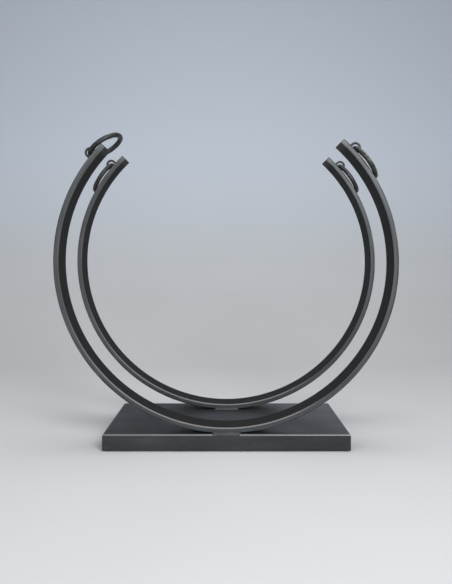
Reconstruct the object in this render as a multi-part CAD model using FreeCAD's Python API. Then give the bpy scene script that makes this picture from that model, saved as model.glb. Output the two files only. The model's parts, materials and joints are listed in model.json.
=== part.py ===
# Round log holder: two open steel hoops welded upright on a folded sheet plinth,
# with a loose ring handle in a staple eye near each of the four hoop tips.
# Millimetres. +X is the viewer's right, +Y the rear, +Z up.
# The origin is on the floor, under the middle of the plinth.

import FreeCAD
import Part
import math
import os

from FreeCAD import Vector

# Plinth
base_width = 428.0
base_depth = 230.0
base_height = 30.0          # floor to top face, pads included
base_sheet = 2.0
base_edge_radius = 2.5      # outside of the folded edges and ground corners
base_lip = 20.0             # return lips around the open underside
window_corner_radius = 6.0
pad_diameter = 16.0
pad_thickness = 2.0
backing_length = 300.0
backing_width = 40.0
backing_thickness = 5.0

# Hoops, rolled from flat rectangular tube
hoop_diameter = 600.0
tube_depth = 50.0           # along Y
tube_thickness = 10.0       # along the hoop's radius
tube_wall = 1.5
tube_corner_radius = 2.5
hoop_inset = 4.0            # hoop face behind the plinth's edge
left_half_opening_deg = 44.3
right_half_opening_deg = 43.6
left_arm_radius = 292.0     # the arms are rolled a little tighter than the bowl
right_arm_radius = 290.0
left_arm_start_deg = 15.0   # below the horizontal
right_arm_start_deg = 35.0
front_hoop_roll_deg = 1.4   # the front hoop is welded on slightly turned
rear_tip_extra = 3.4        # the rear hoop runs further past its eyes
cap_thickness = 2.0
cap_edge_radius = 0.8

# Welds between hoops and plinth
weld_root = 0.3             # gap under the hoop that the weld fills
weld_length = 49.0
weld_rise = 5.0             # up the hoop's face
weld_lap = 3.0              # down over the plinth's edge
weld_throat = 3.0           # in under the hoop
weld_crown = 0.6            # bulge of the bead

# Staple eyes and ring handles
eye_wire = 4.5
eye_hole = 11.0
eye_rise = 9.5              # hole centre above the hoop's outer face
eye_setback = 25.0          # along the hoop, from the front tips
eye_weld_leg = 1.6
eye_weld_toe = 0.3
ring_wire = 9.0
ring_outside = 70.0
ring_clearance = 0.35       # between a resting ring and its hoop
ring_seat = 1.8             # under a hanging ring's wire in its eye
flipped_ring_turn_deg = 22.0    # the flipped ring lies turned in its eye, its end to the rear

# Working values
cut_overrun = 5.0
swing_step_deg = 0.1
ring_samples = 180
front = -1
rear = 1
left = -1
right = 1

hoop_radius = hoop_diameter / 2
hoop_centre_z = base_height + weld_root + hoop_radius
hoop_offset_y = base_depth / 2 - hoop_inset - tube_depth / 2
ring_radius = (ring_outside - ring_wire) / 2
eye_radius = (eye_hole + eye_wire) / 2
tray_bottom = pad_thickness
y_axis = Vector(0, 1, 0)
turn_axis = Vector(0, -1, 0)   # positive turns run anticlockwise as seen from the front


def box(width, depth, low_z, high_z):
    """Upright block centred on the Z axis."""
    block = Part.makeBox(width, depth, high_z - low_z)
    block.translate(Vector(-width / 2, -depth / 2, low_z))
    return block


def rounded_rectangle(x_low, x_high, half_y, radius):
    """Closed wire in the XY plane, symmetric about the X axis."""
    low, high = x_low + radius, x_high - radius
    side = half_y - radius
    bow = radius * math.sqrt(0.5)
    edges = [
        Part.LineSegment(Vector(low, -half_y), Vector(high, -half_y)),
        Part.Arc(Vector(high, -half_y), Vector(high + bow, -side - bow), Vector(x_high, -side)),
        Part.LineSegment(Vector(x_high, -side), Vector(x_high, side)),
        Part.Arc(Vector(x_high, side), Vector(high + bow, side + bow), Vector(high, half_y)),
        Part.LineSegment(Vector(high, half_y), Vector(low, half_y)),
        Part.Arc(Vector(low, half_y), Vector(low - bow, side + bow), Vector(x_low, side)),
        Part.LineSegment(Vector(x_low, side), Vector(x_low, -side)),
        Part.Arc(Vector(x_low, -side), Vector(low - bow, -side - bow), Vector(low, -half_y)),
    ]
    return Part.Wire([edge.toShape() for edge in edges])


def base_envelope():
    """Outside of the plinth, with folded top edges and ground corners rounded."""
    block = box(base_width, base_depth, tray_bottom, base_height)
    soft_edges = [edge for edge in block.Edges if edge.BoundBox.ZMax > tray_bottom + base_sheet]
    return block.makeFillet(base_edge_radius, soft_edges)


def base_tray():
    """Folded tray, open side down, with a return lip all round."""
    inner_width = base_width - 2 * base_sheet
    inner_depth = base_depth - 2 * base_sheet
    hollow = box(inner_width, inner_depth, tray_bottom + base_sheet, base_height - base_sheet)
    window_width = inner_width - 2 * base_lip
    window_depth = inner_depth - 2 * base_lip
    window = box(window_width, window_depth, tray_bottom - cut_overrun, tray_bottom + cut_overrun)
    corners = [edge for edge in window.Edges if edge.BoundBox.ZLength > cut_overrun]
    window = window.makeFillet(window_corner_radius, corners)
    return base_envelope().cut(hollow).cut(window)


def backing_bar(row):
    """Flat bar under the sheet where a hoop stands."""
    top = base_height - base_sheet
    bar = box(backing_length, backing_width, top - backing_thickness, top)
    bar.translate(Vector(0, row * hoop_offset_y, 0))
    return bar


def foot_pad(row, side):
    """Round pad stuck to a corner of the return lip."""
    inset = base_sheet + base_lip / 2
    place = Vector(side * (base_width / 2 - inset), row * (base_depth / 2 - inset), 0)
    return Part.makeCylinder(pad_diameter / 2, pad_thickness, place)


class Arm:
    """One side of a hoop: the arc that its outer face follows from the bowl up to the tip."""

    def __init__(self, row, side):
        roll = front_hoop_roll_deg if row == front else 0
        self.side = side
        self.flipped = (row, side) == (front, left)
        self.tip_extra = rear_tip_extra if row == rear else 0
        if side == left:
            self.radius = left_arm_radius
            self.start = 180 + left_arm_start_deg + roll
            self.tip = 90 + left_half_opening_deg + roll
        else:
            self.radius = right_arm_radius
            self.start = roll - right_arm_start_deg
            self.tip = 90 - right_half_opening_deg + roll
        self.tip += side * self.degrees(self.tip_extra)
        self.centre = bowl_centre(row) + direction(self.start) * (hoop_radius - self.radius)

    def degrees(self, length):
        """Angle that a length along the outer face takes up."""
        return math.degrees(length / self.radius)

    def eye_angle(self):
        return self.tip - self.side * self.degrees(eye_setback + self.tip_extra)

    def above_eye_foot(self, rise):
        """Point over the middle of the eye, at a height above the hoop's outer face."""
        return self.centre + direction(self.eye_angle()) * (self.radius + rise)

    def pivot(self):
        """Middle of the ring's wire in the eye: lifted when flipped, low when hanging."""
        return self.above_eye_foot(eye_rise if self.flipped else ring_wire / 2 + ring_seat)

    def ring_axis(self):
        """Line that a ring swings about: square to the hoop, or turned in the eye when flipped."""
        turn = flipped_ring_turn_deg if self.flipped else 0
        return FreeCAD.Rotation(direction(self.eye_angle()), turn).multVec(y_axis)

    def ring_direction(self, swing):
        """Way a ring points: 0 straight out from the hoop, positive towards the tip."""
        return FreeCAD.Rotation(self.ring_axis(), -self.side * swing).multVec(direction(self.eye_angle()))


def bowl_centre(row):
    return Vector(0, row * hoop_offset_y, hoop_centre_z)


def direction(angle):
    """Unit vector in the XZ plane, from +X towards +Z."""
    return Vector(math.cos(math.radians(angle)), 0, math.sin(math.radians(angle)))


def arc_of(section, arm_centre, start, sweep):
    """Solid swept by a section, drawn at +X of the arc's centre, from a start angle."""
    profile = section.copy()
    profile.rotate(Vector(), turn_axis, start)
    solid = profile.revolve(Vector(), turn_axis, sweep)
    solid.translate(arm_centre)
    return solid


def tube_section(radius, hollow):
    """Section of the rolled tube, outer face at the given radius."""
    outer = rounded_rectangle(radius - tube_thickness, radius, tube_depth / 2, tube_corner_radius)
    if not hollow:
        return Part.Face(outer)
    inner = rounded_rectangle(radius - tube_thickness + tube_wall, radius - tube_wall,
                              tube_depth / 2 - tube_wall, tube_corner_radius - tube_wall)
    return Part.Face([outer, inner])


def hoop(row, hollow):
    """Rolled tube between the two end caps; as a solid bar where not hollow."""
    left_arm, right_arm = Arm(row, left), Arm(row, right)
    left_end = left_arm.tip + left_arm.degrees(cap_thickness)
    right_end = right_arm.tip - right_arm.degrees(cap_thickness)
    bowl = arc_of(tube_section(hoop_radius, hollow), bowl_centre(row),
                  left_arm.start, right_arm.start + 360 - left_arm.start)
    left_arc = arc_of(tube_section(left_arm.radius, hollow), left_arm.centre,
                      left_end, left_arm.start - left_end)
    right_arc = arc_of(tube_section(right_arm.radius, hollow), right_arm.centre,
                       right_arm.start, right_end - right_arm.start)
    return bowl.fuse([left_arc, right_arc]).removeSplitter()


def tip_cap(arm):
    """Plate closing the tube at a tip, its outer edges eased."""
    sweep = arm.degrees(cap_thickness)
    cap = arc_of(tube_section(arm.radius, False), Vector(), 0, sweep)
    end_face = max(cap.Faces, key=lambda face: face.CenterOfMass.z)
    cap = cap.makeFillet(cap_edge_radius, end_face.Edges)
    if arm.side == left:
        cap = cap.mirror(Vector(), Vector(0, 0, 1))
    cap.rotate(Vector(), turn_axis, arm.tip - arm.side * sweep)
    cap.translate(arm.centre)
    return cap


def hoop_weld(row, bar, plinth):
    """Beads along the two faces of a hoop where it stands on the plinth."""
    beads = []
    for face_side in (front, rear):
        face_y = row * hoop_offset_y + face_side * tube_depth / 2
        reach = hoop_inset + weld_crown
        toe = Vector(0, face_y + face_side * reach, base_height - weld_lap)
        head = Vector(0, face_y, base_height + weld_rise)
        outward = Vector(0, weld_rise + weld_lap, 0) * face_side + Vector(0, 0, reach)
        crown = (toe + head) * 0.5 + outward.normalize() * weld_crown
        inner_top = head - Vector(0, face_side * weld_throat, 0)
        inner_low = Vector(0, inner_top.y, toe.z)
        outline = Part.Wire([
            Part.Arc(toe, crown, head).toShape(),
            Part.makeLine(head, inner_top),
            Part.makeLine(inner_top, inner_low),
            Part.makeLine(inner_low, toe),
        ])
        bead = Part.Face(outline).extrude(Vector(weld_length, 0, 0))
        bead.translate(Vector(-weld_length / 2, 0, 0))
        beads.append(bead.cut(bar).cut(plinth))
    return Part.makeCompound([solid for bead in beads for solid in bead.Solids])


def upright_to_arm(shape, arm):
    """Turns a shape drawn pointing up at the origin into place at an arm's eye."""
    shape.rotate(Vector(), turn_axis, arm.eye_angle() - 90)
    shape.translate(arm.above_eye_foot(eye_rise))
    return shape


def staple():
    """Bent wire eye, hole centre at the origin, legs running down past the hoop's face."""
    foot = Vector(-eye_radius, 0, 0)
    wire = Part.Face(Part.Wire(Part.makeCircle(eye_wire / 2, foot)))
    bow = wire.revolve(Vector(), y_axis, 180)
    leg = wire.extrude(Vector(0, 0, -eye_rise - tube_wall))
    other_leg = leg.copy()
    other_leg.translate(Vector(2 * eye_radius, 0, 0))
    return bow.fuse([leg, other_leg]).removeSplitter()


def staple_eye(arm, bar):
    return upright_to_arm(staple(), arm).cut(bar)


def eye_weld(arm, bar):
    """Small fillet of weld round each leg of an eye."""
    foot_radius = eye_wire / 2 + eye_weld_leg
    collars = []
    for leg_side in (left, right):
        foot = Vector(leg_side * eye_radius, 0, -eye_rise - tube_wall)
        shoulder = Vector(foot.x, 0, -eye_rise + eye_weld_toe)
        skirt = Part.makeCylinder(foot_radius, shoulder.z - foot.z, foot)
        slope = Part.makeCone(foot_radius, eye_wire / 2 + eye_weld_toe, eye_weld_leg, shoulder)
        collar = skirt.fuse(slope).cut(staple())
        collars.append(upright_to_arm(collar, arm).cut(bar))
    return Part.makeCompound([solid for collar in collars for solid in collar.Solids])


def gap_to_tube(arm, point):
    """Distance from a point to the outside of an arm's tube, its square tip included."""
    from_centre = point - arm.centre
    height = math.hypot(from_centre.x, from_centre.z) - arm.radius
    angle = math.degrees(math.atan2(from_centre.z, from_centre.x))
    past_tip = arm.side * math.radians(angle - arm.tip) * arm.radius
    across = abs(from_centre.y) - tube_depth / 2 + tube_corner_radius
    through = abs(height + tube_thickness / 2) - tube_thickness / 2 + tube_corner_radius
    section_gap = math.hypot(max(across, 0), max(through, 0)) - tube_corner_radius
    return math.hypot(max(section_gap, 0), max(past_tip, 0))


def swing_limit(arm, way):
    """Swing at which a ring, turned from straight out, comes to rest against its hoop."""
    axis = arm.ring_axis()
    swing = 0
    while True:
        along = arm.ring_direction(swing + way * swing_step_deg)
        for sample in range(ring_samples):
            turn = 2 * math.pi * sample / ring_samples
            reach = along * ring_radius * (1 - math.cos(turn))
            point = arm.pivot() + reach + axis * ring_radius * math.sin(turn)
            if gap_to_tube(arm, point) < ring_wire / 2 + ring_clearance:
                return swing
        swing += way * swing_step_deg


def ring_handle(arm, swing):
    along = arm.ring_direction(swing)
    centre = arm.pivot() + along * ring_radius
    return Part.makeTorus(ring_radius, ring_wire / 2, centre, along.cross(arm.ring_axis()))


def save(name, shape):
    shape.exportStep("parts/" + name + ".step")


os.makedirs("parts", exist_ok=True)
row_names = {front: "front", rear: "rear"}
side_names = {left: "left", right: "right"}
plinth = base_envelope()
save("base_tray", base_tray())

for row, row_name in row_names.items():
    bar = hoop(row, False)
    save(row_name + "_hoop", hoop(row, True))
    save(row_name + "_hoop_weld", hoop_weld(row, bar, plinth))
    save(row_name + "_backing_bar", backing_bar(row))
    for side, side_name in side_names.items():
        corner = row_name + "_" + side_name
        arm = Arm(row, side)
        hanging = swing_limit(arm, -1)
        over_tip = swing_limit(arm, 1)
        rest = over_tip if arm.flipped else hanging
        save(corner + "_foot_pad", foot_pad(row, side))
        save(corner + "_tip_cap", tip_cap(arm))
        save(corner + "_eye", staple_eye(arm, bar))
        save(corner + "_eye_weld", eye_weld(arm, bar))
        save(corner + "_ring", ring_handle(arm, rest))
        pivot = arm.pivot()
        axis = arm.ring_axis()
        print(corner, "pivot %.3f %.3f %.3f" % (pivot.x, pivot.y, pivot.z),
              "axis %.6f %.6f %.6f" % (axis.x, axis.y, axis.z),
              "swing %.1f to %.1f" % (hanging, over_tip), "travel %.1f" % (over_tip - hanging))
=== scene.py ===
# Round log holder: two rolled steel hoops on a folded plinth, with a ring handle near each hoop tip.
# Metres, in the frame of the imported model: +X the viewer's right, +Y the rear, +Z up.

import json
import math

import bmesh
import bpy
from mathutils import Matrix, Vector, noise


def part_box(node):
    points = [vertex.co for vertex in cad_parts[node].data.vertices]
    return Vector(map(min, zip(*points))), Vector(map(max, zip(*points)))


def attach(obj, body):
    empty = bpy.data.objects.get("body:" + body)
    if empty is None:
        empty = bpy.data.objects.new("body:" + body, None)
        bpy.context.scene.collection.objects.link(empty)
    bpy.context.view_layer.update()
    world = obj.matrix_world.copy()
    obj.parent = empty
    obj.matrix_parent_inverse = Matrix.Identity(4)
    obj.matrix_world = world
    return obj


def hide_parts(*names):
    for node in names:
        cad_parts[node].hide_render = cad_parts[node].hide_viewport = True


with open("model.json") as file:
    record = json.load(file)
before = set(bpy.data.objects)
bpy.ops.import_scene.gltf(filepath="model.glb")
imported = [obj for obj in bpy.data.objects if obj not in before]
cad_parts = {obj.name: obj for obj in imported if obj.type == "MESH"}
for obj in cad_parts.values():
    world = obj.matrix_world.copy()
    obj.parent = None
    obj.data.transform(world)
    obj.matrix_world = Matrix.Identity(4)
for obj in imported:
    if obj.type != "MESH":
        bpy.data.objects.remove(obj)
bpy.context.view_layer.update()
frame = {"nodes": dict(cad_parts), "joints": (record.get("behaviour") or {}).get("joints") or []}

joints = {joint["name"]: joint for joint in frame["joints"]}

# Rolled bar of the hoops; its other sizes are read from the frame
bar_thickness = 0.010
bar_corner = 0.0025
bar_step = 0.006                              # between two sections along the bar
corner_segments = 6                           # of each rounded corner and fold
hoop_radius = 0.300                           # outside of the bowl
arm_radius = {"left": 0.292, "right": 0.290}  # the arms are rolled a little tighter
arm_start = {"left": math.radians(75), "right": math.radians(55)}    # round from the bottom
arm_tip = {"left": math.radians(135.7), "right": math.radians(136.4)}
front_hoop_roll = math.radians(1.4)           # the front hoop is welded on slightly turned
rear_tip_extra = 0.0034                       # the rear hoop runs further past its eyes
cap_thickness = 0.002
cap_edge = 0.0008
cap_edge_segments = 3
ground_length = 0.009                         # of each tip, dressed square after welding
ground_full_share = 0.55                      # of that length, fully dressed
ground_share = 0.35                           # of a corner's rounding that the dressing takes away
bared_length = 0.018                          # of each tip, where the black is thinned
bared_full_length = 0.0045

# Folded plinth
fold_radius = 0.0025
sheet = 0.002
return_lip = 0.020
window_corner = 0.006
window_segments = 5

# Staple eyes and their welds
eye_wire = 0.0045
eye_hole = 0.011
eye_rise = 0.0095                             # of the hole's centre above the hoop's outer face
eye_setback = 0.025                           # along the hoop from the front tips
eye_root = 0.0012                             # of each leg, sunk in the bar
eye_sides = 20                                # round the wire
bow_steps = 28
leg_cuts = 7
collar_leg = 0.0017
collar_steps = 36
collar_swell_share = 0.3                      # of the collar's leg

# Beads between hoops and plinth
bead_length = 0.049
bead_rise = 0.0050                            # up the hoop's face
bead_lap = 0.0030                             # down over the plinth's edge
bead_crown = 0.0008
bead_step = 0.0007
bead_sides = 28
end_power = 9                                 # a higher power gives a bead blunter ends
end_least = 0.02                              # of the section at the very ends, squared
ripple_pitch = 0.0024
ripple_share = 0.05                           # of the crown
blob_share = 0.45                             # more width and crown where a bead starts and stops
blob_place = 0.88                             # on the way from a bead's middle to its ends
blob_spread = 0.07
wander_share = 0.5                            # of the crown, to and fro across the slope
wander_waves = 6                              # along half a bead
wander_layer = 3.1
swell_share = 0.15                            # of the width and crown
swell_waves = 9
swell_layer = 7.7
bead_contrast = 40                            # keeps the noise of one bead unlike the next one's

# Ring handles, with hammered marks on them and on the eyes
ring_sides = 24                               # round the wire
ring_steps = 168
ring_dent = 0.00032
ring_mark = 0.0062                            # across one hammer mark
wire_dent = 0.00020
wire_mark = 0.0040
mark_reach_share = 0.75                       # of that width, from a mark's middle to its rim

# How far the black is rubbed off each ring and its eye, and where the rubbing sets in
ring_wear_band = (-0.05, 0.45)                # above the ring's middle plane, in radii of its wire
eye_wear_share = 0.4                          # of the bow's radius above the hole's centre
wear_shares = {"front_left": 0.2, "front_right": 1.0, "rear_left": 0.2, "rear_right": 0.7}

# Camera, for a picture 452 wide and 584 high
camera_to_hoop = 1.0545                       # in front of the front hoop's face
lens_mm = 37.68
sensor_mm = 36
horizon_shift = -0.0553
side_shift = -0.0008

rows = ("front", "rear")
sides = ("left", "right")
turn_axis = Vector((0, -1, 0))                # positive turns run anticlockwise as seen from the front
across_axis = Vector((0, 1, 0))
quarter_turn = math.pi / 2
full_turn = 2 * math.pi
sharp_angle = math.radians(40)                # between faces that keep a crisp edge


def smooth_step(value, start, end):
    """0 before start, 1 after end, and an even slope between."""
    share = min(max((value - start) / (end - start), 0), 1)
    return share * share * (3 - 2 * share)


def bowl_centre(row):
    """Middle of a hoop's bowl, on the hoops' common axis."""
    low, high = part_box(row + "_hoop")
    return Vector((0, (low.y + high.y) / 2, low.z + hoop_radius))


class Arm:
    """One side of a hoop. Turns are counted from the bottom of the hoop up this side."""

    def __init__(self, row, side):
        low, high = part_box(row + "_hoop")
        self.side = 1 if side == "right" else -1
        roll = self.side * front_hoop_roll if row == "front" else 0
        self.depth = high.y - low.y
        self.radius = arm_radius[side]
        self.start = arm_start[side] + roll
        self.past_eye = eye_setback + (rear_tip_extra if row == "rear" else 0)
        self.tip = arm_tip[side] + roll + (self.past_eye - eye_setback) / self.radius
        self.bowl = bowl_centre(row)
        self.centre = self.bowl + self.facing(self.start) * (hoop_radius - self.radius)

    def facing(self, turn):
        """Way that the bar's outer face looks at a turn."""
        return Vector((self.side * math.sin(turn), 0, -math.cos(turn)))

    def angle_at(self, turn):
        """The same way as an angle from +X towards +Z."""
        return self.side * (turn - math.pi) + quarter_turn

    def turn_of(self, point, centre):
        """Turn at which a point lies, as seen from a centre."""
        out = point - centre
        return math.atan2(self.side * out.x, -out.z)

    def place(self, point):
        """Place on the bar: along it from the bottom, across its depth, and out from its middle."""
        centre, radius, before = self.bowl, hoop_radius, 0
        if self.turn_of(point, self.centre) > self.start:
            centre, radius = self.centre, self.radius
            before = self.start * (hoop_radius - self.radius)
        out = point - centre
        along = before + self.turn_of(point, centre) * radius
        return Vector((self.side * along, out.y, math.hypot(out.x, out.z) - radius + bar_thickness / 2))

    def from_tip(self, point):
        """Length of bar between a point of this arm and its tip."""
        return abs(self.tip - self.turn_of(point, self.centre)) * self.radius

    def eye_frame(self):
        """Turns and moves what is drawn upright at the origin to this arm's eye."""
        turn = self.tip - self.past_eye / self.radius
        upright = Matrix.Rotation(self.angle_at(turn) - quarter_turn, 4, turn_axis)
        return Matrix.Translation(self.centre + self.facing(turn) * (self.radius + eye_rise)) @ upright


# Shapes


def all_of(bm):
    return list(bm.verts) + list(bm.edges) + list(bm.faces)


def ease(bm, geom, offset, segments, affect="EDGES", clamp=False):
    """Rounds off edges, or the corners of a flat face."""
    bmesh.ops.bevel(bm, geom=geom, offset=offset, offset_type="OFFSET", segments=segments, profile=0.5,
                    affect=affect, material=-1, clamp_overlap=clamp)


def bar_section(bm, arm, turn):
    """Rounded section of the bar at a turn of an arm, as one face."""
    inner, half = arm.radius - bar_thickness, arm.depth / 2
    corners = [(inner, -half), (arm.radius, -half), (arm.radius, half), (inner, half)]
    face = bm.faces.new([bm.verts.new((x, y, 0)) for x, y in corners])
    ease(bm, list(face.verts), bar_corner, corner_segments, affect="VERTICES")
    swing = Matrix.Rotation(arm.angle_at(turn), 3, turn_axis)
    bmesh.ops.rotate(bm, verts=bm.verts, cent=(0, 0, 0), matrix=swing)
    bmesh.ops.translate(bm, verts=bm.verts, vec=arm.centre)


def roll_on(bm, geom, centre, sweep, step):
    """Rolls a section on about a centre and returns the end that it reaches."""
    steps = max(2, round(abs(sweep) * hoop_radius / step))
    return bmesh.ops.spin(bm, geom=geom, cent=centre, axis=turn_axis, angle=sweep, steps=steps,
                          use_merge=False, use_duplicate=False)["geom_last"]


def dress_tip(bm, arm):
    """Squares up the rounded corners of the last stretch before a tip, as a grinder leaves them."""
    corner_across = arm.depth / 2 - bar_corner
    corner_through = bar_thickness / 2 - bar_corner
    full_length = ground_length * ground_full_share
    for vert in bm.verts:
        if vert.co.x * arm.side < 0:
            continue
        share = smooth_step(arm.from_tip(vert.co), ground_length, full_length) * ground_share
        place = arm.place(vert.co)
        over_y = abs(place.y) - corner_across
        over_z = abs(place.z) - corner_through
        if share == 0 or min(over_y, over_z) <= 0:
            continue
        grow = share * (bar_corner / max(over_y, over_z) - 1)
        vert.co.y += math.copysign(over_y * grow, place.y)
        out = arm.facing(arm.turn_of(vert.co, arm.centre))
        vert.co += out * math.copysign(over_z * grow, place.z)


def keep_bar_places(bm, arms):
    """Keeps each point's place on the bar, and how near it is to a dressed tip, for the finish to follow."""
    bar = bm.verts.layers.float_vector.new("bar")
    ground = bm.verts.layers.float.new("ground")
    for vert in bm.verts:
        arm = next(arm for arm in arms if vert.co.x * arm.side >= 0)
        vert[bar] = arm.place(vert.co)
        vert[ground] = smooth_step(arm.from_tip(vert.co), bared_length, bared_full_length)


def rolled_hoop(row):
    """The bar of one hoop between its two tip caps: an arm, the bowl and the other arm."""
    arms = [Arm(row, side) for side in sides]
    left_arm, right_arm = arms
    left_end = left_arm.tip - cap_thickness / left_arm.radius
    right_end = right_arm.tip - cap_thickness / right_arm.radius
    bm = bmesh.new()
    bar_section(bm, left_arm, left_end)
    end = roll_on(bm, all_of(bm), left_arm.centre, left_end - left_arm.start, bar_step)
    end = roll_on(bm, end, left_arm.bowl, left_arm.start + right_arm.start, bar_step)
    roll_on(bm, end, right_arm.centre, right_end - right_arm.start, bar_step)
    bmesh.ops.recalc_face_normals(bm, faces=bm.faces)
    for arm in arms:
        dress_tip(bm, arm)
    keep_bar_places(bm, arms)
    return bm


def tip_cap(row, side):
    """Plate closing the bar at one tip, with eased edges."""
    arm = Arm(row, side)
    sweep = cap_thickness / arm.radius
    bm = bmesh.new()
    bar_section(bm, arm, arm.tip - sweep)
    end = roll_on(bm, all_of(bm), arm.centre, arm.side * sweep, cap_thickness / 2)
    rim = [edge for edge in end if isinstance(edge, bmesh.types.BMEdge)]
    ease(bm, rim, cap_edge, cap_edge_segments, clamp=True)
    bmesh.ops.recalc_face_normals(bm, faces=bm.faces)
    dress_tip(bm, arm)
    keep_bar_places(bm, [arm])
    return bm


def folded_plinth():
    """Tray folded from one sheet, open side down, with rounded folds and a return lip all round."""
    low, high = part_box("base_tray")
    size = high - low
    bm = bmesh.new()
    bmesh.ops.create_cube(bm, size=1, matrix=Matrix.LocRotScale((low + high) / 2, None, size))
    outside = list(bm.verts)
    floor_face = min(bm.faces, key=lambda face: face.calc_center_median().z)
    bmesh.ops.inset_region(bm, faces=[floor_face], thickness=sheet + return_lip, use_even_offset=True)
    window = raise_face(bm, floor_face, sheet)
    posts = [edge for vert in window.verts for edge in vert.link_edges if edge not in window.edges]
    ease(bm, posts, window_corner, window_segments)
    lip_top = low.z + sheet
    window = max((face for face in bm.faces if abs(face.calc_center_median().z - lip_top) < sheet / 4),
                 key=lambda face: face.calc_area())
    under_sheet = raise_face(bm, window, 0)
    inner = Vector((size.x - 2 * sheet, size.y - 2 * sheet))
    opening = inner - Vector((2 * return_lip, 2 * return_lip))
    bmesh.ops.scale(bm, verts=under_sheet.verts, vec=(inner.x / opening.x, inner.y / opening.y, 1))
    raise_face(bm, under_sheet, size.z - 2 * sheet)
    middle = (low.z + high.z) / 2
    folds = [edge for edge in bm.edges if all(vert in outside for vert in edge.verts)
             and max(vert.co.z for vert in edge.verts) > middle]
    ease(bm, folds, fold_radius, corner_segments)
    bmesh.ops.recalc_face_normals(bm, faces=bm.faces)
    return bm


def draw_out(bm, face, keep_start=False):
    """Extrudes one face, takes the old one away unless it closes the start, and returns the new end."""
    made = bmesh.ops.extrude_face_region(bm, geom=[face])["geom"]
    if not keep_start:
        bm.faces.remove(face)
    return next(part for part in made if isinstance(part, bmesh.types.BMFace))


def raise_face(bm, face, height):
    """Extrudes one face straight up and returns its new end."""
    end = draw_out(bm, face)
    bmesh.ops.translate(bm, verts=end.verts, vec=(0, 0, height))
    return end


def hammer(bm, axis_points, dent, mark):
    """Beats shallow marks into a bar, each point moving towards the bar's own axis."""
    for vert in bm.verts:
        heart = axis_points(vert.co)
        distances, _ = noise.voronoi(vert.co / mark)
        depth = max(0, 1 - (distances[0] / mark_reach_share) ** 2) * dent
        vert.co -= (vert.co - heart).normalized() * depth


def ring_handle(row, side):
    """Forged ring threaded through its eye."""
    corner = row + "_" + side
    low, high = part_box(corner + "_ring")
    swing = joints[corner + "_swing"]
    pivot = Vector(swing["pos_m"])
    axis = Vector(swing["axis"])
    centre = (low + high) / 2
    radius = (centre - pivot).length
    upper = (centre - pivot).cross(axis).normalized()
    upper *= math.copysign(1, upper.dot(pivot - bowl_centre(row)))
    wire_radius = (high.y - low.y) / 2 - radius * math.sqrt(1 - upper.y ** 2)
    bm = bmesh.new()
    across = Matrix.Translation(pivot) @ axis.to_track_quat("Z", "Y").to_matrix().to_4x4()
    bmesh.ops.create_circle(bm, cap_ends=False, radius=wire_radius, segments=ring_sides, matrix=across)
    bmesh.ops.spin(bm, geom=all_of(bm), cent=centre, axis=upper, angle=full_turn, steps=ring_steps,
                   use_merge=True, use_duplicate=False)
    bmesh.ops.recalc_face_normals(bm, faces=bm.faces)

    def heart(point):
        flat = point - centre
        flat -= upper * flat.dot(upper)
        return centre + flat.normalized() * radius

    worn = bm.verts.layers.float.new("worn")
    for vert in bm.verts:
        lift = (vert.co - centre).dot(upper) / wire_radius
        vert[worn] = smooth_step(lift, *ring_wear_band) * wear_shares[corner]
    hammer(bm, heart, ring_dent, ring_mark)
    return bm


def staple_eye(row, side):
    """Bent wire eye, its two legs welded to the hoop's outer face."""
    arm = Arm(row, side)
    bow = (eye_hole + eye_wire) / 2
    bm = bmesh.new()
    foot = Matrix.Translation((-bow, 0, 0))
    bmesh.ops.create_circle(bm, cap_ends=True, radius=eye_wire / 2, segments=eye_sides, matrix=foot)
    bmesh.ops.spin(bm, geom=all_of(bm), cent=(0, 0, 0), axis=across_axis, angle=math.pi, steps=bow_steps,
                   use_merge=False, use_duplicate=False)
    for end in [face for face in bm.faces if len(face.verts) > 4]:
        raise_face(bm, end, -eye_rise - eye_root)
    bmesh.ops.recalc_face_normals(bm, faces=bm.faces)
    long_edges = [edge for edge in bm.edges if edge.calc_length() > eye_rise]
    bmesh.ops.subdivide_edges(bm, edges=long_edges, cuts=leg_cuts, use_grid_fill=True)

    def heart(point):
        if point.z <= 0:
            return Vector((math.copysign(bow, point.x), 0, point.z))
        return Vector((point.x, 0, point.z)).normalized() * bow

    worn = bm.verts.layers.float.new("worn")
    for vert in bm.verts:
        bared = smooth_step(vert.co.z, bow * eye_wear_share, bow + eye_wire / 2)
        vert[worn] = bared * wear_shares[row + "_" + side]
    hammer(bm, heart, wire_dent, wire_mark)
    bmesh.ops.transform(bm, verts=bm.verts, matrix=arm.eye_frame())
    return bm


def eye_collars(row, side):
    """Small lumpy weld round each leg of an eye."""
    arm = Arm(row, side)
    leg_radius = eye_wire / 2
    # Out from the leg and up it, in collar legs
    profile_shares = [(-0.5, 1.3), (0.15, 1.1), (0.4, 0.55), (0.9, 0.2)]
    slope = [(leg_radius + collar_leg * out, collar_leg * up) for out, up in profile_shares]
    outline = [(slope[0][0], -eye_root)] + slope + [(leg_radius + collar_leg, -eye_root)]
    bm = bmesh.new()
    for leg in (-1, 1):
        axis_x = leg * (eye_hole + eye_wire) / 2
        points = [bm.verts.new((axis_x + reach, 0, height - eye_rise)) for reach, height in outline]
        edges = [bm.edges.new((first, second)) for first, second in zip(points, points[1:] + points[:1])]
        bmesh.ops.spin(bm, geom=points + edges, cent=(axis_x, 0, 0), axis=(0, 0, 1), angle=full_turn,
                       steps=collar_steps, use_merge=True, use_duplicate=False)
        for vert in bm.verts:
            if vert.co.x * leg > 0:
                out = Vector((vert.co.x - axis_x, vert.co.y, 0))
                swell = noise.noise(vert.co / collar_leg + Vector((0, 0, axis_x)))
                vert.co += out.normalized() * swell * collar_leg * collar_swell_share
    bmesh.ops.recalc_face_normals(bm, faces=bm.faces)
    bmesh.ops.transform(bm, verts=bm.verts, matrix=arm.eye_frame())
    return bm


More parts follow.
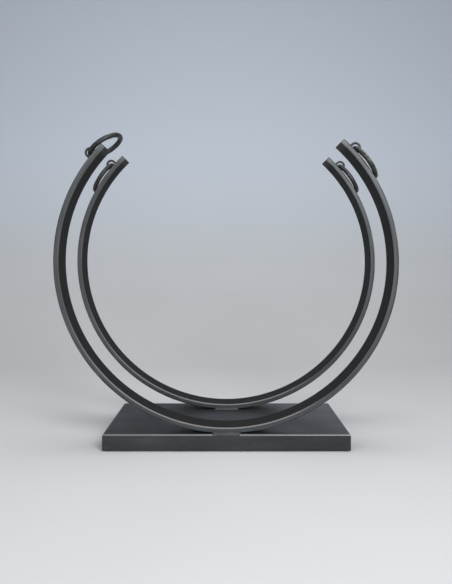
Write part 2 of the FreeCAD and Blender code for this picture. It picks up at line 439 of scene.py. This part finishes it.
def hoop_beads(row):
    """Uneven weld beads along the front and rear of a hoop where it stands on the plinth."""
    hoop_low, hoop_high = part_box(row + "_hoop")
    weld_low, weld_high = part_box(row + "_hoop_weld")
    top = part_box("base_tray")[1].z
    bm = bmesh.new()
    for face_y, toe_y in ((hoop_low.y, weld_low.y), (hoop_high.y, weld_high.y)):
        toe = Vector((0, toe_y, top - bead_lap))
        head = Vector((0, face_y, top + bead_rise))
        slope = head - toe
        outward = Vector((0, -slope.z, slope.y)).normalized()
        outward *= math.copysign(1, outward.y * (toe_y - face_y))
        one_bead(bm, (toe + head) / 2, slope.normalized(), outward, slope.length / 2)
    bmesh.ops.recalc_face_normals(bm, faces=bm.faces)
    return bm


def bead_noise(travel, waves, middle, layer):
    """Noise along a bead, of its own for each bead and layer."""
    return noise.noise(Vector((travel * waves, middle.y * bead_contrast, layer)))


def one_bead(bm, middle, slope, outward, half_width):
    """One bead, run along X from a rounded start to a rounded stop, rippled and a little wandering."""
    sink = bead_crown
    start = bead_frame(middle, slope, outward)
    ring = bmesh.ops.create_circle(bm, cap_ends=True, radius=1, segments=bead_sides, matrix=start)["verts"]
    face = ring[0].link_faces[0]
    steps = round(bead_length / bead_step)
    home = [vert.co.copy() - middle for vert in face.verts]
    for step in range(steps + 1):
        travel = step / steps * 2 - 1
        end_round = math.sqrt(max(end_least, 1 - abs(travel) ** end_power))
        ripple = 1 + ripple_share * math.sin(full_turn * step * bead_step / ripple_pitch)
        blob = blob_share * math.exp(-((abs(travel) - blob_place) / blob_spread) ** 2)
        wander = wander_share * bead_crown * bead_noise(travel, wander_waves, middle, wander_layer)
        swell = 1 + blob + swell_share * bead_noise(travel, swell_waves, middle, swell_layer)
        if step:
            face = draw_out(bm, face, keep_start=step == 1)
        for vert, place in zip(face.verts, home):
            up = place.dot(slope) * half_width * end_round * swell
            out = place.dot(outward) * (sink + bead_crown * ripple * swell) * end_round
            along = Vector((travel * bead_length / 2, 0, 0))
            vert.co = middle + along + slope * (up + wander) + outward * (out - sink)


def bead_frame(middle, slope, outward):
    """Frame whose X runs up the slope, Y outward and Z along the bead."""
    columns = Matrix((slope, outward, slope.cross(outward))).transposed()
    return Matrix.Translation(middle) @ columns.to_4x4()


# Finishes


class Shade:
    """A socket of a finish. Plain arithmetic on it adds Math nodes."""

    def __init__(self, finish, socket):
        self.finish = finish
        self.socket = socket

    def reckon(self, operation, first, second=0.0):
        return self.finish.node("ShaderNodeMath", {"operation": operation}, {0: first, 1: second})

    def __add__(self, other):
        return self.reckon("ADD", self, other)

    def __radd__(self, other):
        return self.reckon("ADD", other, self)

    def __sub__(self, other):
        return self.reckon("SUBTRACT", self, other)

    def __rsub__(self, other):
        return self.reckon("SUBTRACT", other, self)

    def __mul__(self, other):
        return self.reckon("MULTIPLY", self, other)

    def __rmul__(self, other):
        return self.reckon("MULTIPLY", other, self)

    def __abs__(self):
        return self.reckon("ABSOLUTE", self)

    def least(self, other):
        return self.reckon("MINIMUM", self, other)

    def most(self, other):
        return self.reckon("MAXIMUM", self, other)

    def fade(self, start, end):
        """0 at start, 1 at end, and smooth between."""
        limits = {"Value": self, "From Min": start, "From Max": end}
        return self.finish.node("ShaderNodeMapRange", {"interpolation_type": "SMOOTHSTEP"}, limits)

    def axes(self):
        """The three numbers of a vector."""
        return [self.finish.node("ShaderNodeSeparateXYZ", {}, {0: self}, axis) for axis in "XYZ"]


class Finish:
    """A material in the making. Its node method adds any node."""

    def __init__(self, name, **constants):
        self.material = bpy.data.materials.new(name)
        self.material.use_nodes = True
        self.tree = self.material.node_tree
        self.surface = self.tree.nodes["Principled BSDF"]
        self.feed(self.surface, {key.replace("_", " "): value for key, value in constants.items()})

    def feed(self, node, sockets):
        for key, value in sockets.items():
            if isinstance(value, Shade):
                self.tree.links.new(value.socket, node.inputs[key])
            else:
                node.inputs[key].default_value = value

    def node(self, kind, settings, sockets, output=0):
        """Adds a node, sets it up, fills its sockets with values or links, and returns one output."""
        made = self.tree.nodes.new(kind)
        for key, value in settings.items():
            setattr(made, key, value)
        self.feed(made, sockets)
        return Shade(self, made.outputs[output])

    def object_place(self):
        return self.node("ShaderNodeTexCoord", {}, {}, "Object")

    def kept(self, name, output="Fac"):
        """What a piece keeps at its points under a name."""
        return self.node("ShaderNodeAttribute", {"attribute_name": name}, {}, output)

    def clouds(self, place, per_metre, detail):
        """Cloudy noise about one half, with that many clouds to the metre along each axis."""
        spread = self.node("ShaderNodeVectorMath", {"operation": "MULTIPLY"}, {0: place, 1: per_metre})
        return self.node("ShaderNodeTexNoise", {}, {"Vector": spread, "Scale": 1.0, "Detail": detail})

    def blend(self, share, under, over):
        """One colour over another by a share."""
        return self.node("ShaderNodeMix", {"data_type": "RGBA"}, {0: share, 6: under, 7: over}, 2)

    def dress(self, colour, roughness, height, relief):
        """Puts colour, roughness and relief on the surface and returns the material."""
        bump = self.node("ShaderNodeBump", {}, {"Strength": 1.0, "Distance": relief, "Height": height})
        self.feed(self.surface, {"Base Color": colour, "Roughness": roughness, "Normal": bump})
        return self.material


def grey(level, warmth=0.0):
    """A grey as linear light, a little warm above zero and cool below."""
    return (level * (1 + warmth), level, level * (1 - warmth), 1.0)


# Painted shade: a darker black for the hoops' inner faces
inner_shade_black = grey(0.010, -0.02)
satin_black = grey(0.018, -0.20)
satin_grey = grey(0.042, -0.18)
plinth_black = grey(0.007, -0.20)
plinth_charcoal = grey(0.017, -0.16)
iron_black = grey(0.008, -0.06)
iron_grey = grey(0.026, -0.08)
rubbed_brown = (0.130, 0.092, 0.064, 1.0)
# A pale grey, both for bared metal and specks and for the painted highlight on the plinth's top folds
rubbed_and_highlight_grey = grey(0.17, -0.03)
# Painted highlight: a pale buff for the hoops' inner corners low on the hoop
painted_highlight_buff = grey(0.185, 0.10)
worn_tan = (0.27, 0.232, 0.188, 1.0)
rust_brown = (0.120, 0.060, 0.028, 1.0)
heat_brown = (0.062, 0.044, 0.030, 1.0)
mill_black = grey(0.05)
mill_grey = grey(0.11, 0.04)
rubber_black = grey(0.016)
rubber_dust = grey(0.06, 0.05)
paper_grey = grey(0.58, -0.01)
paper_white = grey(0.62, -0.01)
backdrop_blue = (0.71, 0.775, 0.87, 1.0)


def rolled_steel():
    """Satin black on rolled bar: streaks drawn along it, painted shade on the inner face, a painted highlight
    along the inner corner low on the hoop, and brown rub on the outer corners.
    """
    finish = Finish("rolled_steel", Specular_IOR_Level=0.05, Coat_Roughness=0.46, Coat_IOR=1.5)
    bar = finish.kept("bar", "Vector")
    along, across, through = bar.axes()
    half_depth = Arm("front", "left").depth / 2
    to_corner = (half_depth - abs(across)) + (bar_thickness / 2 - abs(through))
    drawn = finish.clouds(bar, (7, 420, 420), detail=4.0)
    drift = finish.clouds(bar, (14, 60, 90), detail=3.0)
    grain = finish.clouds(finish.object_place(), (700, 700, 700), detail=2.0)
    breaks = finish.clouds(bar, (38, 90, 90), detail=4.0)
    # Painted highlight along the bar's inner corner, strongest low on the hoop, where the rounded corner
    # catches light from above
    highlight_span = along.fade(0.21, 0.10) * (1 - along.fade(-0.14, -0.40) * 0.75)
    corner = to_corner.fade(0.0026, 0.0011) * through.fade(0, -0.002) * highlight_span
    rub = (to_corner - (breaks - 0.42) * 0.006).fade(0.0014, 0.0002) * through.fade(0, 0.002)
    # Painted shade on the inner face: a darker colour and less coat there stand for the shade that falls
    # inside the hoop
    inner_face_shade = through.fade(-bar_thickness * 0.36, -bar_thickness * 0.46) * (1 - corner)
    tone = (drawn * 0.6 + drift * 0.4).fade(0.32, 0.68)
    colour = finish.blend(tone, satin_black, satin_grey)
    colour = finish.blend(drift.fade(0.58, 0.80) * 0.20, colour, rubbed_brown)
    # Painted shade on the inner face
    colour = finish.blend(inner_face_shade, colour, inner_shade_black)
    # Painted highlight on the inner corner
    colour = finish.blend(corner * 0.85, colour, painted_highlight_buff)
    colour = finish.blend(rub * 0.65, colour, rubbed_brown)
    colour = finish.blend(finish.kept("ground") * 0.25, colour, rubbed_and_highlight_grey)
    sheen = 0.92 + (drift - 0.5) * 0.5 + (drawn - 0.5) * 0.5
    outside = through.fade(bar_thickness * 0.30, bar_thickness * 0.48)
    finish.feed(finish.surface, {"Coat Weight": sheen * (1 - inner_face_shade * 0.95) * (1 - outside * 0.6)})
    roughness = 0.60 + (grain - 0.5) * 0.10
    height = drawn * 0.6 + grain * 0.25
    return finish.dress(colour, roughness, height, relief=0.00010)


def plinth_steel():
    """Satin black on folded sheet: brushed, dulled in patches, smoother to the right, rubbed brown at the
    folds, with a painted highlight along the top folds.
    """
    finish = Finish("plinth_steel")
    place = finish.object_place()
    x, y, z = place.axes()
    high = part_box("base_tray")[1]
    from_end = high.x - abs(x)
    from_side = high.y - abs(y)
    from_top = high.z - z
    to_fold = from_end.least(from_side).most(from_top)
    brushed = finish.clouds(place, (9, 480, 480), detail=4.0)
    patches = finish.clouds(place, (11, 16, 60), detail=3.0)
    grain = finish.clouds(place, (800, 800, 800), detail=2.0)
    breaks = finish.clouds(place, (60, 90, 90), detail=4.0)
    scratches = finish.clouds(place, (55, 240, 420), detail=3.0)
    # Painted highlight: the top folds are coloured pale grey, as a line of light along them
    fold_highlight = to_fold.fade(0.0032, 0.0010)
    rub = (to_fold - (breaks - 0.42) * 0.006).fade(0.0014, 0.0002)
    scuff = scratches.fade(0.67, 0.73) * from_top.fade(0.006, 0.016)
    tone = (brushed * 0.5 + patches * 0.5).fade(0.30, 0.70)
    colour = finish.blend(tone, plinth_black, plinth_charcoal)
    colour = finish.blend(patches.fade(0.60, 0.80) * 0.15, colour, rubbed_brown)
    # Painted highlight along the top folds
    colour = finish.blend(fold_highlight * 0.85, colour, rubbed_and_highlight_grey)
    colour = finish.blend(rub * 0.15, colour, rubbed_brown)
    colour = finish.blend(scuff * 0.5, colour, rubbed_brown)
    smoother = x.fade(0.0, 0.15) * 0.16 + fold_highlight * 0.12
    roughness = 0.52 + (patches - 0.5) * 0.25 + (grain - 0.5) * 0.08 - smoother
    height = brushed * 0.6 + grain * 0.25
    return finish.dress(colour, roughness, height, relief=0.00010)


def forged_iron():
    """Black forged iron: beaten marks, scale in the hollows, grey specks, and a tan rim where it rubs."""
    finish = Finish("forged_iron", Metallic=0.10)
    place = finish.object_place()
    marks = finish.clouds(place, (210, 210, 210), detail=3.0)
    scale = finish.clouds(place, (620, 620, 620), detail=3.0)
    patches = finish.clouds(place, (150, 150, 150), detail=3.0)
    worn = finish.kept("worn")
    rub = (worn * 0.72 + (patches - 0.5) * 1.2 + (marks - 0.5) * 0.8).fade(0.45, 0.85)
    rust = (patches - 0.5 + worn * 0.12).fade(0.16, 0.24)
    colour = finish.blend(marks.fade(0.35, 0.70), iron_black, iron_grey)
    colour = finish.blend(scale.fade(0.60, 0.72) * 0.35, colour, rubbed_and_highlight_grey)
    colour = finish.blend(rust * worn * 0.45, colour, rust_brown)
    colour = finish.blend(rub * worn * 0.8, colour, worn_tan)
    roughness = 0.44 + (scale - 0.5) * 0.30
    height = marks * 0.7 + scale * 0.3
    return finish.dress(colour, roughness, height, relief=0.0004)


def weld_metal():
    """Blackened weld: smooth dark metal, with a brown heat tint and a few specks where the black is off."""
    finish = Finish("weld_metal", Specular_IOR_Level=0.38)
    place = finish.object_place()
    tint = finish.clouds(place, (140, 140, 140), detail=3.0)
    specks = finish.clouds(place, (700, 700, 700), detail=2.0)
    colour = finish.blend(tint.fade(0.50, 0.72) * 0.8, satin_black, heat_brown)
    colour = finish.blend(specks.fade(0.68, 0.78) * 0.3, colour, rubbed_and_highlight_grey)
    roughness = 0.50 + (tint - 0.5) * 0.2
    return finish.dress(colour, roughness, specks * 0.5 + tint * 0.5, relief=0.0001)


def mill_steel():
    """Thinly painted flat bar, with mill scale showing through in clouds."""
    finish = Finish("mill_steel", Metallic=0.4)
    place = finish.object_place()
    scale = finish.clouds(place, (40, 40, 40), detail=4.0)
    grain = finish.clouds(place, (12, 500, 500), detail=3.0)
    colour = finish.blend(scale.fade(0.35, 0.65), mill_black, mill_grey)
    return finish.dress(colour, 0.5 + (scale - 0.5) * 0.3, grain, relief=0.0001)


def pad_rubber():
    """Matt black rubber with a fine moulded grain and dust at the rim."""
    finish = Finish("pad_rubber")
    place = finish.object_place()
    grain = finish.clouds(place, (1500, 1500, 1500), detail=2.0)
    dust = finish.clouds(place, (180, 180, 180), detail=3.0)
    colour = finish.blend(dust.fade(0.5, 0.8) * 0.5, rubber_black, rubber_dust)
    return finish.dress(colour, 0.82 + (grain - 0.5) * 0.2, grain, relief=0.0001)


# Assembly


def put(name, bm, finish, slot, body, *nodes):
    """Makes a finished mesh a piece of the object, in place of the nodes that it stands for."""
    mesh = bpy.data.meshes.new(name)
    bm.to_mesh(mesh)
    bm.free()
    mesh.materials.append(finish)
    mesh.shade_smooth()
    mesh.set_sharp_from_angle(angle=sharp_angle)
    piece = bpy.data.objects.new(name, mesh)
    bpy.context.scene.collection.objects.link(piece)
    even = piece.modifiers.new("even_normals", "WEIGHTED_NORMAL")
    even.keep_sharp = True
    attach(piece, body)
    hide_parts(*nodes)


def recolour(node, finish):
    """Gives a node that stays as it is a finish of its own."""
    piece = frame["nodes"][node]
    piece.data.materials.clear()
    piece.data.materials.append(finish)


bar_finish = rolled_steel()
iron_finish = forged_iron()
weld_finish = weld_metal()
bare_finish = mill_steel()
rubber_finish = pad_rubber()

put("folded_plinth", folded_plinth(), plinth_steel(), "plinth_steel", "stand", "base_tray")
for row in rows:
    put("rolled_hoop_" + row, rolled_hoop(row), bar_finish, "hoop_steel", "stand", row + "_hoop")
    put("weld_beads_" + row, hoop_beads(row), weld_finish, "weld_metal", "stand", row + "_hoop_weld")
    recolour(row + "_backing_bar", bare_finish)
    for side in sides:
        corner = row + "_" + side
        tip, staple, collars = tip_cap(row, side), staple_eye(row, side), eye_collars(row, side)
        ring = ring_handle(row, side)
        put("tip_" + corner, tip, bar_finish, "hoop_steel", "stand", corner + "_tip_cap")
        put("staple_" + corner, staple, iron_finish, "forged_iron", "stand", corner + "_eye")
        put("collars_" + corner, collars, weld_finish, "weld_metal", "stand", corner + "_eye_weld")
        put("ring_" + corner, ring, iron_finish, "forged_iron", corner + "_handle", corner + "_ring")
        recolour(corner + "_foot_pad", rubber_finish)

# Studio


def studio_sweep():
    """Pale floor that curves up into a backdrop."""
    half_width, reach_front, reach_back = 20.0, 12.0, 2.4
    wall_height, cove, tinted_height = 4.0, 1.7, 1.02
    bm = bmesh.new()
    corners = [(-half_width, -reach_front), (half_width, -reach_front),
               (half_width, reach_back), (-half_width, reach_back)]
    face = bm.faces.new([bm.verts.new((x, y, 0)) for x, y in corners])
    back = max(face.edges, key=lambda edge: sum(vert.co.y for vert in edge.verts))
    raised = bmesh.ops.extrude_edge_only(bm, edges=[back])["geom"]
    bmesh.ops.translate(bm, verts=[part for part in raised if isinstance(part, bmesh.types.BMVert)],
                        vec=(0, 0, wall_height))
    ease(bm, [back], cove, segments=24)
    mesh = bpy.data.meshes.new("studio_sweep")
    bm.to_mesh(mesh)
    bm.free()
    mesh.shade_smooth()
    finish = Finish("studio_paper", Roughness=0.9)
    place = finish.object_place()
    fibre = finish.clouds(place, (3, 3, 3), detail=2.0)
    paper = finish.blend(fibre, paper_grey, paper_white)
    _, _, height = place.axes()
    paper = finish.blend(height.fade(0, tinted_height), paper, backdrop_blue)
    mesh.materials.append(finish.dress(paper, 0.9 + (fibre - 0.5) * 0.05, fibre, relief=0.0001))
    sweep = bpy.data.objects.new("studio_sweep", mesh)
    bpy.context.scene.collection.objects.link(sweep)


def soft_box(name, place, aim, *, width, height, watts, spread):
    """Large soft lamp aimed at a point, gridded to a spread in degrees."""
    lamp = bpy.data.lights.new(name, "AREA")
    lamp.shape = "RECTANGLE"
    lamp.size, lamp.size_y, lamp.energy = width, height, watts
    lamp.spread = math.radians(spread)
    holder = bpy.data.objects.new(name, lamp)
    holder.location = place
    holder.rotation_euler = (Vector(aim) - Vector(place)).to_track_quat("-Z", "Y").to_euler()
    bpy.context.scene.collection.objects.link(holder)


def studio_light():
    """Even pale surroundings, a key from the upper right, a fill from the left and a soft top light."""
    world = bpy.data.worlds.new("studio_air")
    world.use_nodes = True
    air = world.node_tree.nodes["Background"]
    air.inputs["Color"].default_value = grey(0.75, -0.02)
    air.inputs["Strength"].default_value = 0.5
    bpy.context.scene.world = world
    aim = (0, 0, 0.28)
    soft_box("key", (0.62, -1.75, 1.05), aim, width=0.9, height=0.9, watts=13, spread=110)
    soft_box("fill", (-1.0, -1.85, 0.75), aim, width=1.2, height=1.0, watts=4.0, spread=110)
    soft_box("top", (0, -0.1, 2.4), aim, width=1.8, height=1.2, watts=18, spread=180)


def camera():
    """Level camera on the hoops' axis, its picture shifted down as the photograph is framed."""
    lens = bpy.data.cameras.new("camera")
    lens.sensor_width = sensor_mm
    lens.lens = lens_mm
    lens.shift_x = side_shift
    lens.shift_y = horizon_shift
    holder = bpy.data.objects.new("camera", lens)
    holder.location = (0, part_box("front_hoop")[0].y - camera_to_hoop, bowl_centre("front").z)
    holder.rotation_euler = (quarter_turn, 0, 0)
    bpy.context.scene.collection.objects.link(holder)
    bpy.context.scene.camera = holder


studio_sweep()
studio_light()
camera()
bpy.context.scene.view_settings.view_transform = "Standard"
